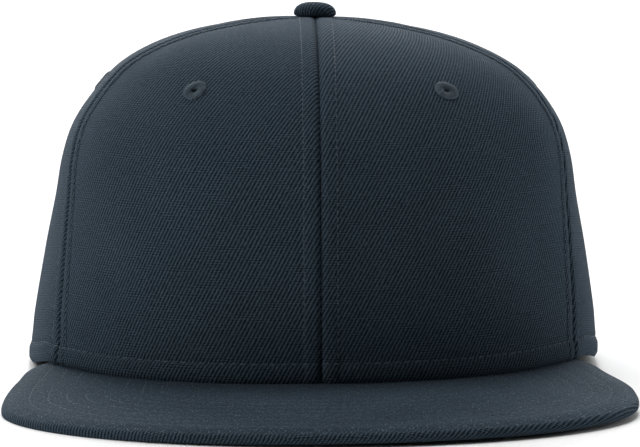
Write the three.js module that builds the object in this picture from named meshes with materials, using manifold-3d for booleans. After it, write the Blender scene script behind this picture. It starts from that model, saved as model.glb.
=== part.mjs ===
// A six-panel snapback cap in twill cloth, as it rests on a surface: a stiff domed crown, a flat peak, a covered
// button, six stitched eyelets, an inner sweatband and a plastic snap strap across the back opening.
// Millimetres, +Z up, the peak towards -Y. Left and right are as seen from the front. The crown is drawn upright on a
// level base and is then tipped back until the peak's rim and the hem meet the surface.

import * as THREE from "three";
import { mergeVertices } from "three/addons/utils/BufferGeometryUtils.js";
import Module from "manifold-3d";

const wasm = await Module();
wasm.setup();

// Crown
const crownWidth = 175;
const crownFront = 102.5;
const crownBack = 102.5;
const crownHeight = 102.8;
const frontSquareness = 2.3;
const backSquareness = 2.1;
const clothWall = 1.8;
const seamGap = 0.3;

// Peak
const peakLength = 70;
const peakWidth = 182.4;
const peakRoundDepth = 63.5;
const peakSlopeDeg = 4.5;
const peakArchHeight = 2.7;
const peakWrapDeg = 65;
const peakCornerReach = 2.0;
const peakCoverWall = 2.0;
const peakUnderWall = 1.5;
const peakRimWidth = 1.8;
const peakEdgeRadius = 1.4;
const hemBlend = 30;
const hemSeatDeg = 2.2;

// Button and eyelets
const buttonDiameter = 13;
const buttonHeight = 4.6;
const shankDiameter = 3.6;
const shankClearance = 0.6;
const shankTail = 1.2;
const eyeletDiameter = 7.6;
const eyeletHole = 2.6;
const eyeletNeckWall = 0.9;
const eyeletThickness = 0.6;

// Sweatband, back opening and strap
const sweatbandHeight = 32;
const sweatbandWall = 1.2;
const openingWidth = 84;
const openingHeight = 52;
const strapHeight = 19;
const strapLift = 1.2;
const strapWall = 1.3;
const strapTuck = 12;
const strapLapEnd = 14;
const studDiameter = 4.4;
const studHeight = 1.0;
const studPitch = 9.5;
const studCount = 7;

// Level cuts through the crown, from the hem to the hole under the button. rise is a share of the crown's height;
// side, front and back are shares of its half width and of its reach to the front and back. The seams that bound the
// side panels lie at frontSeam and backSeam, in degrees of turn from the centre front.
const CROWN_SECTIONS = [
  { rise: 0.0, side: 1.0, front: 1.0, back: 1.0, frontSeam: 60, backSeam: 124 },
  { rise: 0.08, side: 0.999, front: 0.993, back: 1.0, frontSeam: 60, backSeam: 124 },
  { rise: 0.2, side: 0.978, front: 0.978, back: 0.993, frontSeam: 61.5, backSeam: 124 },
  { rise: 0.34, side: 0.949, front: 0.955, back: 0.972, frontSeam: 64, backSeam: 124 },
  { rise: 0.48, side: 0.919, front: 0.92, back: 0.935, frontSeam: 67, backSeam: 123.5 },
  { rise: 0.6, side: 0.898, front: 0.873, back: 0.888, frontSeam: 69, backSeam: 123 },
  { rise: 0.7, side: 0.861, front: 0.815, back: 0.828, frontSeam: 70, backSeam: 123 },
  { rise: 0.79, side: 0.789, front: 0.735, back: 0.745, frontSeam: 70.5, backSeam: 122.5 },
  { rise: 0.865, side: 0.697, front: 0.632, back: 0.64, frontSeam: 70, backSeam: 122 },
  { rise: 0.925, side: 0.556, front: 0.5, back: 0.505, frontSeam: 69, backSeam: 122 },
  { rise: 0.967, side: 0.388, front: 0.35, back: 0.352, frontSeam: 66, backSeam: 121 },
  { rise: 0.992, side: 0.198, front: 0.185, back: 0.185, frontSeam: 62, backSeam: 120 },
];

// Where each eyelet sits on its panel: across from the panel's front edge, and up from the hem to the button, as shares.
const EYELETS = [
  { panel: "front", across: 0.43, up: 0.6 },
  { panel: "side", across: 0.56, up: 0.6 },
  { panel: "back", across: 0.55, up: 0.6 },
];

// How finely the faceted solids follow their surfaces.
const panelColumns = 9;
const panelRows = 20;
const peakSpokes = 40;
const bandColumns = 36;
const strapColumns = 16;
const roundSides = 14;

const halfWidth = crownWidth / 2;
const neckRadius = eyeletHole / 2 + eyeletNeckWall;
const crownHoleRadius = shankDiameter / 2 + shankClearance;
const bandInset = clothWall + seamGap;
const peakThickness = peakCoverWall + seamGap + peakUnderWall;
const peakSlope = THREE.MathUtils.degToRad(peakSlopeDeg);
const hemSeat = THREE.MathUtils.degToRad(hemSeatDeg);
const sections = [
  ...CROWN_SECTIONS,
  {
    rise: 1,
    side: crownHoleRadius / halfWidth,
    front: crownHoleRadius / crownFront,
    back: crownHoleRadius / crownBack,
    frontSeam: 60,
    backSeam: 120,
  },
];

// The crown's section at a share of the way up, smoothed through the table's rows.
function crownSection(up) {
  const place = THREE.MathUtils.clamp(up, 0, 1) * (sections.length - 1);
  const row = Math.min(Math.floor(place), sections.length - 2);
  const local = place - row;
  const near = [-1, 0, 1, 2].map((step) => sections[THREE.MathUtils.clamp(row + step, 0, sections.length - 1)]);
  const weights = [
    (-local + 2 * local ** 2 - local ** 3) / 2,
    (2 - 5 * local ** 2 + 3 * local ** 3) / 2,
    (local + 4 * local ** 2 - 3 * local ** 3) / 2,
    (local ** 3 - local ** 2) / 2,
  ];
  const section = {};
  for (const column of Object.keys(sections[0])) {
    section[column] = weights.reduce((sum, weight, i) => sum + weight * near[i][column], 0);
  }
  return section;
}

function signedPower(value, power) {
  return Math.sign(value) * Math.abs(value) ** power;
}

// The outline of a level cut: turn 0 is the centre front and 180 the centre back, and negative turns are to the left.
function crownOutline(turn, section) {
  const angle = THREE.MathUtils.degToRad(turn);
  const isFront = Math.cos(angle) >= 0;
  const reach = isFront ? section.front * crownFront : section.back * crownBack;
  const power = 2 / (isFront ? frontSquareness : backSquareness);
  return {
    x: section.side * halfWidth * signedPower(Math.sin(angle), power),
    y: -reach * signedPower(Math.cos(angle), power),
  };
}

// The upper face of the peak, which slopes down to the front and arches a little from side to side.
function peakTop(x, y) {
  return -seamGap - Math.tan(peakSlope) * (-y - crownFront) - peakArchHeight * (x / (peakWidth / 2)) ** 2;
}

const hemBendY = crownOutline(peakWrapDeg, sections[0]).y + bandInset + sweatbandWall;
const openingTurn = backTurnAtSide(openingWidth / 2);
const heelY = crownOutline(openingTurn, sections[0]).y;

// The hem follows the peak's upper face. Behind the peak it drops to a straight line that rises to the heel beside
// the opening, and lies along the surface when the cap is tipped back.
function hemLevel({ x, y }) {
  const seat = Math.tan(hemSeat) * (y - heelY);
  const seated = THREE.MathUtils.smoothstep(y, hemBendY, hemBendY + hemBlend);
  return THREE.MathUtils.lerp(peakTop(x, y) + seamGap, seat, seated);
}

// A point of the crown's outer face.
function crownPoint(turn, up) {
  const section = crownSection(up);
  const { x, y } = crownOutline(turn, section);
  const hem = hemLevel(crownOutline(turn, sections[0]));
  const z = hem * (1 - section.rise) + crownHeight * section.rise;
  return new THREE.Vector3(x, y, z);
}

function crownNormal(turn, up) {
  const turnStep = 0.5;
  const upStep = 0.004;
  const low = Math.max(up - upStep, 0);
  const high = Math.min(up + upStep, 1);
  const along = crownPoint(turn + turnStep, up).sub(crownPoint(turn - turnStep, up));
  const rising = crownPoint(turn, high).sub(crownPoint(turn, low));
  return along.cross(rising).normalize();
}

// A point at a depth inside the crown's outer face. At the hem the depth is taken level, along the peak's upper face.
function crownInside(turn, up, depth) {
  const point = crownPoint(turn, up);
  const normal = crownNormal(turn, up);
  if (up > 0) return point.addScaledVector(normal, -depth);
  point.addScaledVector(normal.setZ(0).normalize(), -depth);
  return point.setZ(hemLevel(point));
}

// The share of the way up at which the crown's face stands at a height above its hem line.
function upAtHeight(height) {
  let low = 0;
  let high = 1;
  for (let step = 0; step < 40; step++) {
    const middle = (low + high) / 2;
    if (crownSection(middle).rise * crownHeight < height) low = middle;
    else high = middle;
  }
  return (low + high) / 2;
}

// The turn of the back half at which the hem stands at a distance to the side of the centre.
function backTurnAtSide(distance) {
  const share = THREE.MathUtils.clamp(distance / halfWidth, 0, 1);
  return 180 - THREE.MathUtils.radToDeg(Math.asin(share ** (backSquareness / 2)));
}

// A closed wall between two faces that are given as functions of two shares, each from 0 to 1.
function wallBetween(outerAt, innerAt, columns, rows) {
  const points = [];
  for (const face of [outerAt, innerAt]) {
    for (let row = 0; row <= rows; row++) {
      for (let column = 0; column <= columns; column++) {
        points.push(...face(column / columns, row / rows).toArray());
      }
    }
  }
  const layer = (columns + 1) * (rows + 1);
  const at = (column, row, inner) => inner * layer + row * (columns + 1) + column;
  const faces = [];
  const addQuad = (a, b, c, d) => faces.push(a, b, c, a, c, d);
  for (let row = 0; row < rows; row++) {
    for (let column = 0; column < columns; column++) {
      addQuad(at(column, row, 0), at(column + 1, row, 0), at(column + 1, row + 1, 0), at(column, row + 1, 0));
      addQuad(at(column, row, 1), at(column, row + 1, 1), at(column + 1, row + 1, 1), at(column + 1, row, 1));
    }
  }
  for (let column = 0; column < columns; column++) {
    addQuad(at(column, 0, 1), at(column + 1, 0, 1), at(column + 1, 0, 0), at(column, 0, 0));
    addQuad(at(column, rows, 0), at(column + 1, rows, 0), at(column + 1, rows, 1), at(column, rows, 1));
  }
  for (let row = 0; row < rows; row++) {
    addQuad(at(0, row, 0), at(0, row + 1, 0), at(0, row + 1, 1), at(0, row, 1));
    addQuad(at(columns, row, 1), at(columns, row + 1, 1), at(columns, row + 1, 0), at(columns, row, 0));
  }
  return indexedGeometry(points, faces);
}

function indexedGeometry(points, faces) {
  const geometry = new THREE.BufferGeometry();
  geometry.setAttribute("position", new THREE.Float32BufferAttribute(points, 3));
  geometry.setIndex(faces);
  return geometry;
}

// A closed solid lofted through loops of points, each a closed section {place, cap}: cap holds its flat coordinates.
function loftThrough(loops) {
  const count = loops[0].length;
  const points = loops.flat().flatMap((corner) => corner.place.toArray());
  const faces = [];
  for (let loop = 0; loop + 1 < loops.length; loop++) {
    for (let corner = 0; corner < count; corner++) {
      const a = loop * count + corner;
      const b = loop * count + ((corner + 1) % count);
      faces.push(a, b, b + count, a, b + count, a + count);
    }
  }
  const last = (loops.length - 1) * count;
  for (const [a, b, c] of THREE.ShapeUtils.triangulateShape(loops[0].map((corner) => corner.cap), [])) {
    faces.push(a, c, b);
  }
  for (const [a, b, c] of THREE.ShapeUtils.triangulateShape(loops.at(-1).map((corner) => corner.cap), [])) {
    faces.push(last + a, last + b, last + c);
  }
  return indexedGeometry(points, faces);
}

function toSolid(geometry, matrix = new THREE.Matrix4()) {
  const bare = new THREE.BufferGeometry();
  bare.setAttribute("position", geometry.getAttribute("position").clone());
  bare.setIndex(geometry.getIndex());
  const merged = mergeVertices(bare.applyMatrix4(matrix));
  const vertProperties = merged.getAttribute("position").array;
  const triVerts = new Uint32Array(merged.getIndex().array);
  return new wasm.Manifold(new wasm.Mesh({ numProp: 3, vertProperties, triVerts }));
}

function toGeometry(solid) {
  const mesh = solid.getMesh();
  return indexedGeometry(Array.from(mesh.vertProperties), Array.from(mesh.triVerts));
}

// The frame of a trim piece on the crown: its Y axis stands out of the cloth.
function crownFrame(turn, up, depth = 0) {
  const turned = new THREE.Quaternion().setFromUnitVectors(new THREE.Vector3(0, 1, 0), crownNormal(turn, up));
  return new THREE.Matrix4().compose(crownInside(turn, up, depth), turned, new THREE.Vector3(1, 1, 1));
}

// A turned piece from a profile of radius and height along its own Y axis.
function turnedPiece(profile, sides) {
  return new THREE.LatheGeometry(profile.map(([radius, height]) => new THREE.Vector2(radius, height)), sides);
}

const cloth = new THREE.MeshStandardMaterial({ color: 0x2c343d, roughness: 0.95, metalness: 0 });
const peakCloth = new THREE.MeshStandardMaterial({ color: 0x39434c, roughness: 0.95, metalness: 0 });
const thread = new THREE.MeshStandardMaterial({ color: 0x3a444e, roughness: 0.8, metalness: 0 });
const bandCloth = new THREE.MeshStandardMaterial({ color: 0x20262e, roughness: 0.95, metalness: 0 });
const snapPlastic = new THREE.MeshStandardMaterial({ color: 0x1d232a, roughness: 0.45, metalness: 0 });

const cap = new THREE.Group();

function addPiece(name, geometry, material) {
  const mesh = new THREE.Mesh(geometry, material);
  mesh.name = name;
  cap.add(mesh);
  return mesh;
}

// Panels: each runs between two seams, from the hem to the hole under the button.
const PANELS = [
  { name: "front", from: () => 0, to: (section) => section.frontSeam },
  { name: "side", from: (section) => section.frontSeam, to: (section) => section.backSeam },
  { name: "back", from: (section) => section.backSeam, to: () => 180 },
];
const SIDES = [
  { name: "right", sign: 1 },
  { name: "left", sign: -1 },
];

// The turn at a share across a panel, from its front edge to its back edge.
function panelTurn(panel, across, up) {
  const section = crownSection(up);
  return THREE.MathUtils.lerp(panel.from(section), panel.to(section), across);
}

// The same, kept half a seam gap away from the panel's two edges.
function gappedTurn(panel, across, up) {
  const section = crownSection(up);
  const edges = [panel.from(section), panel.to(section)];
  const degree = crownPoint(edges[0] + 1, up).distanceTo(crownPoint(edges[0], up));
  const farDegree = crownPoint(edges[1], up).distanceTo(crownPoint(edges[1] - 1, up));
  return THREE.MathUtils.lerp(edges[0] + seamGap / 2 / degree, edges[1] - seamGap / 2 / farDegree, across);
}

function panelGeometry(panel, sign) {
  const turnAt = (u, v) => sign * gappedTurn(panel, sign > 0 ? u : 1 - u, v);
  return wallBetween(
    (u, v) => crownInside(turnAt(u, v), v, 0),
    (u, v) => crownInside(turnAt(u, v), v, clothWall),
    panelColumns,
    panelRows,
  );
}

// The half-moon opening, as a block that runs out through the back of the crown.
function openingBlock() {
  const outline = new THREE.Shape();
  const half = openingWidth / 2;
  const below = clothWall * 4;
  outline.moveTo(-half, -below);
  outline.lineTo(half, -below);
  outline.lineTo(half, 0);
  outline.absellipse(0, 0, half, openingHeight, 0, Math.PI, false, 0);
  outline.closePath();
  const block = new THREE.ExtrudeGeometry(outline, { depth: crownBack, bevelEnabled: false, curveSegments: 12 });
  const standing = new THREE.Matrix4().makeRotationX(Math.PI / 2);
  return toSolid(block, standing.setPosition(0, crownBack * 1.5, 0));
}

function eyeletHoleBlock(turn, up) {
  const drill = new THREE.CylinderGeometry(neckRadius + seamGap, neckRadius + seamGap, clothWall * 6, roundSides);
  return toSolid(drill, crownFrame(turn, up));
}

function eyeletGeometry() {
  const outer = eyeletDiameter / 2;
  const hole = eyeletHole / 2;
  const crest = eyeletThickness + seamGap;
  const profile = [
    [hole, -clothWall],
    [neckRadius, -clothWall],
    [neckRadius, seamGap],
    [outer, seamGap],
    [outer - 0.2 * eyeletThickness, crest * 0.7],
    [(outer + hole) / 2, crest],
    [hole, crest * 0.6],
    [hole, -clothWall],
  ];
  return turnedPiece(profile, roundSides);
}

for (const panel of PANELS) {
  const eyelet = EYELETS.find((row) => row.panel === panel.name);
  for (const side of SIDES) {
    const turn = side.sign * panelTurn(panel, eyelet.across, eyelet.up);
    let solid = toSolid(panelGeometry(panel, side.sign)).subtract(eyeletHoleBlock(turn, eyelet.up));
    if (panel.name === "back") solid = solid.subtract(openingBlock());
    addPiece(`${panel.name}_panel_${side.name}`, toGeometry(solid), cloth);
    const ring = addPiece(`eyelet_${panel.name}_${side.name}`, eyeletGeometry(), thread);
    ring.applyMatrix4(crownFrame(turn, eyelet.up));
  }
}

// The button: a low covered dome on the hole where the six panels meet, with its shank through the hole.
const button = buttonDiameter / 2;
const shank = shankDiameter / 2;
const buttonProfile = [
  [0, -clothWall - shankTail],
  [shank, -clothWall - shankTail],
  [shank, seamGap],
  [button * 0.9, seamGap],
  [button, buttonHeight * 0.3],
  [button * 0.97, buttonHeight * 0.55],
  [button * 0.8, buttonHeight * 0.82],
  [button * 0.45, buttonHeight * 0.97],
  [0, buttonHeight],
];
const buttonPiece = addPiece("top_button", turnedPiece(buttonProfile, 20), cloth);
buttonPiece.rotation.x = Math.PI / 2;
buttonPiece.position.z = crownHeight;

// The peak's outer edge: a round front, then sides that draw in to the corners at the hem. share runs from -1 to 1.
const roundShare = 0.66;

function peakOutline(share) {
  const turn = peakWrapDeg;
  const corner = crownInside(turn, 0, -peakCornerReach);
  const wideY = -(crownFront + peakLength - peakRoundDepth);
  const side = Math.sign(share);
  const way = Math.abs(share);
  if (way <= roundShare) {
    const angle = (way / roundShare) * (Math.PI / 2);
    return { x: (side * Math.sin(angle) * peakWidth) / 2, y: wideY - peakRoundDepth * Math.cos(angle) };
  }
  const back = (way - roundShare) / (1 - roundShare);
  return {
    x: side * (corner.x + (peakWidth / 2 - corner.x) * (1 - back ** 2)),
    y: THREE.MathUtils.lerp(wideY, corner.y, back),
  };
}

// One section of a peak piece, out from under the crown: each corner is {out, down}, out as a length from the inner
// edge if it is positive or back from the outer edge if it is not, and down from the peak's upper face.
function peakLoop(share, corners) {
  const inner = crownInside(share * peakWrapDeg, 0, bandInset + sweatbandWall);
  const outer = peakOutline(share);
  const length = Math.hypot(outer.x - inner.x, outer.y - inner.y);
  return corners(length).map(({ out, down }) => {
    const way = out / length;
    const x = THREE.MathUtils.lerp(inner.x, outer.x, way);
    const y = THREE.MathUtils.lerp(inner.y, outer.y, way);
    return { place: new THREE.Vector3(x, y, peakTop(x, y) - down), cap: new THREE.Vector2(out, -down) };
  });
}

function coverCorners(length) {
  const rim = length - peakRimWidth;
  const bend = length - peakEdgeRadius;
  const corners = [0, 0.25, 0.5, 0.75].map((way) => ({ out: bend * way, down: 0 }));
  for (const step of [0, 1, 2]) {
    const angle = (step / 3) * (Math.PI / 2);
    corners.push({
      out: bend + peakEdgeRadius * Math.sin(angle),
      down: peakEdgeRadius * (1 - Math.cos(angle)),
    });
  }
  corners.push({ out: length, down: peakEdgeRadius });
  corners.push({ out: length, down: peakThickness - peakEdgeRadius / 2 });
  corners.push({ out: length - peakEdgeRadius / 2, down: peakThickness });
  corners.push({ out: rim, down: peakThickness });
  for (const way of [1, 0.66, 0.33, 0]) corners.push({ out: rim * way, down: peakCoverWall });
  return corners.reverse();
}

function underCorners(length) {
  const edge = length - peakRimWidth - seamGap;
  const top = peakCoverWall + seamGap;
  const ways = [0, 0.25, 0.5, 0.75, 1];
  const upper = ways.map((way) => ({ out: edge * way, down: top }));
  const lower = ways.map((way) => ({ out: edge * way, down: peakThickness })).reverse();
  return [...upper, ...lower].reverse();
}

function peakLoops(corners) {
  return Array.from({ length: peakSpokes + 1 }, (_, spoke) => peakLoop(1 - (2 * spoke) / peakSpokes, corners));
}

addPiece("peak_cover", loftThrough(peakLoops(coverCorners)), peakCloth);
addPiece("peak_underside", loftThrough(peakLoops(underCorners)), peakCloth);

// The sweatband stands inside the hem, from one end of the strap round the front to the other.
const strapEndTurn = backTurnAtSide(openingWidth / 2 + strapTuck);
const bandEndTurn = backTurnAtSide(openingWidth / 2 + strapTuck + seamGap);
const bandUp = upAtHeight(sweatbandHeight);

addPiece(
  "sweatband",
  wallBetween(
    (u, v) => crownInside((2 * u - 1) * bandEndTurn, v * bandUp, bandInset),
    (u, v) => crownInside((2 * u - 1) * bandEndTurn, v * bandUp, bandInset + sweatbandWall),
    bandColumns,
    3,
  ),
  bandCloth,
);

// The strap crosses the opening inside the hem as one plain piece: a band, the lapped end on it, and its row of studs.
function strapWallPiece(fromTurn, toTurn, outer, inner, low, high) {
  const turnAt = (u) => THREE.MathUtils.lerp(fromTurn, toTurn, u);
  const upAt = (v) => THREE.MathUtils.lerp(upAtHeight(low), upAtHeight(high), v);
  return toSolid(
    wallBetween(
      (u, v) => crownInside(turnAt(u), upAt(v), outer),
      (u, v) => crownInside(turnAt(u), upAt(v), inner),
      strapColumns,
      2,
    ),
  );
}

function strapGeometry() {
  const top = strapLift + strapHeight;
  const lapInset = bandInset - strapWall;
  const lapFrom = openingTurn + 2;
  const lapTo = 360 - backTurnAtSide(strapLapEnd);
  let solid = strapWallPiece(strapEndTurn, 360 - strapEndTurn, bandInset, bandInset + strapWall, strapLift, top);
  const lap = strapWallPiece(lapFrom, lapTo, lapInset, bandInset + strapWall / 2, strapLift + 1, top - 1);
  solid = solid.add(lap);
  const middle = upAtHeight(strapLift + strapHeight / 2);
  for (let stud = 0; stud < studCount; stud++) {
    const side = (stud - (studCount - 1) / 2) * studPitch;
    const turn = side < 0 ? 360 - backTurnAtSide(-side) : backTurnAtSide(side);
    const onLap = turn < lapTo;
    const depth = onLap ? lapInset : bandInset;
    const reach = studHeight + strapWall / 2;
    const post = new THREE.CylinderGeometry(studDiameter / 2, studDiameter / 2, reach, roundSides);
    post.translate(0, reach / 2 - strapWall / 2, 0);
    solid = solid.add(toSolid(post, crownFrame(turn, middle, depth)));
  }
  return toGeometry(solid);
}

addPiece("snap_strap", strapGeometry(), snapPlastic);

// At rest the cap leans on the hem and on the lowest points of the peak's rim, or on the hem alone if they are higher.
function restLean() {
  const heel = crownPoint(openingTurn, 0);
  const lows = peakLoops(coverCorners).flat();
  return Math.max(hemSeat, ...lows.map(({ place }) => Math.atan2(heel.z - place.z, heel.y - place.y)));
}

cap.rotation.x = -restLean();
cap.updateMatrixWorld(true);
const bounds = new THREE.Box3().setFromObject(cap, true);
const middle = bounds.getCenter(new THREE.Vector3());
cap.position.set(-middle.x, -middle.y, -bounds.min.z);

const object = new THREE.Group();
object.add(cap);

export default object;
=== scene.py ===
import math
import random

import bpy
import numpy as np
from mathutils import Matrix, Vector


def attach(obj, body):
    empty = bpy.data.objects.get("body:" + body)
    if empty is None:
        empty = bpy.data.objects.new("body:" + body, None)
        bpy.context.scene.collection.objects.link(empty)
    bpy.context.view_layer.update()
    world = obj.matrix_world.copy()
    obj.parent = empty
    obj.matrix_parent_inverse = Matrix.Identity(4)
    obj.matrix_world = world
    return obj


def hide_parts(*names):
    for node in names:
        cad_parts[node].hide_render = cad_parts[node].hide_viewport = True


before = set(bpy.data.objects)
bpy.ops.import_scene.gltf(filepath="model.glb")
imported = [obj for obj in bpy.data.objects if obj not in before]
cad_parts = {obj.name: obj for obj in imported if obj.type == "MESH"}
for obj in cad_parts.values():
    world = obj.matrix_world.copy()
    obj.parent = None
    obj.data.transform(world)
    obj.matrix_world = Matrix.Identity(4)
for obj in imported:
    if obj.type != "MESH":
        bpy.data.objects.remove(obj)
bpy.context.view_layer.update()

# Front panels: two gores of navy wool-blend twill, cut on the straight and backed with stiff buckram, so that
# the crown stands by itself. They are sewn together down the centre front, where the turnings are pressed
# open and top-stitched, and their lower edges are folded in along the peak.
MM = 0.001
crown_half_width = 87.5
crown_front = 102.5
crown_back = 102.5
crown_height = 102.8
front_squareness = 2.3
back_squareness = 2.1
cloth_wall = 1.8
seam_gap = 0.3
seam_join = 0.06
top_hole_radius = 2.4
keel_proud = 1.9
keel_reach = 15.0
peak_slope = math.tan(math.radians(4.5))
peak_arch = 2.7
peak_half_width = 91.2
peak_wrap_turn = 65.0
hem_blend = 45.0
hem_sink = 0.12
corner_droop = 0.9
set_roll = 0.016
set_tip = 0.9
hem_seat = math.tan(math.radians(2.2))
rest_lean = math.radians(2.2436)
rest_shift = (0.0, 34.87, 3.578)
rest = (
    Matrix.Scale(MM, 4)
    @ Matrix.Translation(rest_shift)
    @ Matrix.Rotation(-rest_lean, 4, "X")
)

# rise: share of the crown's height; side, front, back: shares of its reach; front_seam, back_seam: turns in
# degrees from the centre front; keel: share of how far the centre seam stands proud.
crown_columns = ("rise", "side", "front", "back", "front_seam", "back_seam", "keel")
crown_table = np.array([
    (0.000, 1.000, 1.000, 1.000, 60.0, 124.0, 0.0),
    (0.080, 0.999, 0.993, 1.000, 60.0, 124.0, 0.5),
    (0.200, 0.978, 0.978, 0.993, 61.5, 124.0, 0.9),
    (0.340, 0.949, 0.955, 0.972, 64.0, 124.0, 1.0),
    (0.480, 0.919, 0.920, 0.935, 67.0, 123.5, 1.0),
    (0.600, 0.898, 0.873, 0.888, 69.0, 123.0, 1.0),
    (0.700, 0.861, 0.815, 0.828, 70.0, 123.0, 0.9),
    (0.790, 0.789, 0.735, 0.745, 70.5, 122.5, 0.7),
    (0.865, 0.697, 0.632, 0.640, 70.0, 122.0, 0.4),
    (0.925, 0.556, 0.500, 0.505, 69.0, 122.0, 0.2),
    (0.967, 0.388, 0.350, 0.352, 66.0, 121.0, 0.0),
    (0.992, 0.198, 0.185, 0.185, 62.0, 120.0, 0.0),
    (1.000, top_hole_radius / crown_half_width, top_hole_radius / crown_front,
     top_hole_radius / crown_back, 60.0, 120.0, 0.0),
])


def crown_section(up):
    """The table's columns at shares of the way up, smoothed through its rows."""
    last = len(crown_table) - 1
    place = np.clip(up, 0, 1) * last
    row = np.minimum(np.floor(place).astype(int), last - 1)
    t = (place - row)[..., None]
    near = [crown_table[np.clip(row + step, 0, last)] for step in (-1, 0, 1, 2)]
    weights = (
        (-t + 2 * t**2 - t**3) / 2,
        (2 - 5 * t**2 + 3 * t**3) / 2,
        (t + 4 * t**2 - 3 * t**3) / 2,
        (t**3 - t**2) / 2,
    )
    section = sum(weight * rows for weight, rows in zip(weights, near))
    return {name: section[..., i] for i, name in enumerate(crown_columns)}


def signed_power(value, power):
    return np.sign(value) * np.abs(value) ** power


def peak_top(x, y):
    """The height of the peak's upper face, which slopes forward, arches, and droops to its two corners."""
    slope = peak_slope * (-y - crown_front)
    droop = corner_droop * smooth_step(y, -68.0, -45.0)
    return -seam_gap - slope - peak_arch * (x / peak_half_width) ** 2 - droop


def smooth_step(value, low, high):
    t = np.clip((value - low) / (high - low), 0, 1)
    return t * t * (3 - 2 * t)


heel_x = 42.0
heel_y = crown_back * (1 - (heel_x / crown_half_width) ** back_squareness) ** (1 / back_squareness)
hem_bend_y = 3.3 - crown_front * math.cos(math.radians(peak_wrap_turn)) ** (2 / front_squareness)


def hem_level(x, y):
    """The height of the hem, which follows the peak and behind it lies along the surface, up to its heels."""
    seated = 1 - np.clip((hem_bend_y + hem_blend - y) / hem_blend, 0, 1) ** 1.5
    return (peak_top(x, y) - hem_sink) * (1 - seated) + hem_seat * (y - heel_y) * seated


def unit(vectors):
    return vectors / np.linalg.norm(vectors, axis=-1, keepdims=True)


def length_along(points):
    """How far each point of a line lies along it."""
    steps = np.linalg.norm(np.diff(points, axis=0), axis=1)
    return np.concatenate([[0], np.cumsum(steps)])


def crown_place(turn, up):
    """Points of the crown's outer face. A turn of 0 is the centre front and 180 the centre back."""
    turn, up = np.broadcast_arrays(np.asarray(turn, float), np.asarray(up, float))
    section = crown_section(up)
    angle = np.radians(turn)
    sine, cosine = np.sin(angle), np.cos(angle)
    is_front = cosine >= 0
    power = np.where(is_front, 2 / front_squareness, 2 / back_squareness)
    reach = np.where(is_front, section["front"] * crown_front, section["back"] * crown_back)
    x = section["side"] * crown_half_width * signed_power(sine, power)
    y = -reach * signed_power(cosine, power)
    hem_x = crown_half_width * signed_power(sine, power)
    hem_y = -np.where(is_front, crown_front, crown_back) * signed_power(cosine, power)
    y = y - np.where(is_front, keel_proud * section["keel"] * np.exp(-np.abs(x) / keel_reach), 0)
    z = hem_level(hem_x, hem_y) * (1 - section["rise"]) + crown_height * section["rise"]
    return np.stack([x, y, z], axis=-1)


def crown_out(turn, up):
    """Outward unit normals of the crown's face."""
    turn, up = np.broadcast_arrays(np.asarray(turn, float), np.asarray(up, float))
    along = crown_place(turn + 0.25, up) - crown_place(turn - 0.25, up)
    rising = crown_place(turn, np.minimum(up + 0.003, 1)) - crown_place(turn, np.maximum(up - 0.003, 0))
    return unit(np.cross(along, rising))


def up_at_height(height):
    """The share of the way up at which the crown's face stands at a height above the hem line."""
    shares = np.linspace(0, 1, 4001)
    return float(np.interp(height, crown_section(shares)["rise"] * crown_height, shares))


# The cloth is drawn in by its seams: a lip rolls into the seam, the pressed turnings lift a band beside it,
# and the top-stitching pulls a narrow channel along the band's edge.
seam_band = 4.9
hem_band = 5.8


def sewn_relief(distance, band, lip_depth, lip_width, puff, channel_depth, channel_width):
    lip = -lip_depth * np.exp(-distance / lip_width)
    lift = puff * smooth_step(distance, 0.2, 1.6) * (1 - smooth_step(distance, band - 0.7, band + 0.5))
    channel = -channel_depth * np.exp(-(((distance - band) / channel_width) ** 2))
    return lip + lift + channel


def seam_relief(distance):
    return sewn_relief(
        distance, seam_band, lip_depth=1.25, lip_width=0.6, puff=0.34, channel_depth=0.10, channel_width=0.7,
    )


def hem_relief(distance):
    hollow = -0.3 * np.exp(-(((distance - 9.0) / 4.0) ** 2))
    return hollow + sewn_relief(
        distance, hem_band, lip_depth=0.5, lip_width=0.6, puff=0.42, channel_depth=0.3, channel_width=0.8,
    )


def cloth_swell(place):
    """Slow swells of the cloth over its backing, a few tenths of a millimetre high."""
    x, y, z = np.moveaxis(place, -1, 0)
    return (
        0.16 * np.sin(x / 11.0 + 1.3) * np.sin(z / 17.0 + y / 23.0)
        + 0.12 * np.sin(x / 23.0 - z / 13.0 + 0.6) * np.cos(y / 19.0 + 0.4)
        + 0.05 * np.sin(x / 5.1 + z / 6.3) * np.sin(y / 7.7 - z / 8.9 + 2.0)
    )


def seam_pucker(distance, place):
    """The uneven pull of the top-stitching on the cloth beside a seam."""
    x, y, z = np.moveaxis(place, -1, 0)
    pull = np.sin(z / 1.15 + 1.7 * np.sin(x / 9.0) + y / 31.0) + 0.7 * np.sin(z / 2.1 + x / 4.0 + 0.8)
    return 0.05 * pull * np.exp(-(((distance - seam_band) / 2.4) ** 2))


def sewn_place(turns, ups, near_seam, width):
    """Points and outward normals of the sewn cloth, with the relief of its seams, hem and swells."""
    places = crown_place(turns, ups)
    outs = crown_out(turns, ups)
    from_hem = crown_section(ups)["rise"] * crown_height
    wide = smooth_step(width, 4.0, 16.0)
    open_cloth = smooth_step(near_seam, 3.0, 14.0) * smooth_step(from_hem, 4.0, 14.0)
    relief = (
        seam_relief(near_seam) * (0.35 + 0.65 * wide)
        + hem_relief(from_hem)
        + seam_pucker(near_seam, places) * wide
        + cloth_swell(places) * open_cloth
    )
    return places + outs * relief[..., None], outs


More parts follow.
